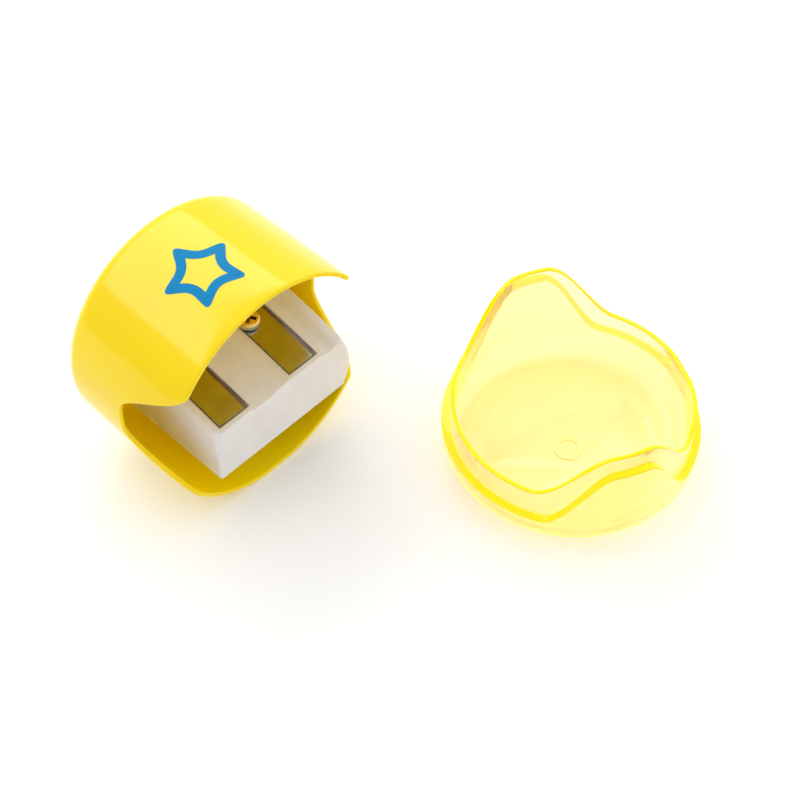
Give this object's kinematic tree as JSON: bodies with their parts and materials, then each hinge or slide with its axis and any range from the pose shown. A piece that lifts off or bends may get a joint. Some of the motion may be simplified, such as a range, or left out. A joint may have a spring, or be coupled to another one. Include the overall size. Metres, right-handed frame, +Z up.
{
  "type": "pencil sharpener",
  "caption": "Hand pencil sharpener: a round yellow container with a blade block for thin and thick pencils, and a translucent lid lying beside it.",
  "frame": {"origin": "middle of the container's flat foot, on the surface it stands on", "axes": "+Z up, -Y out of the container's mouth along its axis, +X to the right as seen from behind the container"},
  "size_m": [0.0944, 0.0929, 0.0498],
  "materials": {
    "housing": "glossy opaque yellow",
    "block": "satin off-white",
    "blade": "polished steel with a ground edge",
    "screw": "plated steel",
    "lid": "glossy translucent pale yellow"
  },
  "bodies": {
    "sharpener": {"housing": "housing", "sharpener_block": "block", "blade_standard": "blade", "blade_jumbo": "blade", "screw_standard": "screw", "screw_jumbo": "screw"},
    "lid": {"lid": "lid"}
  },
  "joints": [
    {"name": "lid_pull", "type": "slide", "parent": "sharpener", "child": "lid", "axis": [0, 0, 1], "range_m": [0, 0.06]}
  ]
}
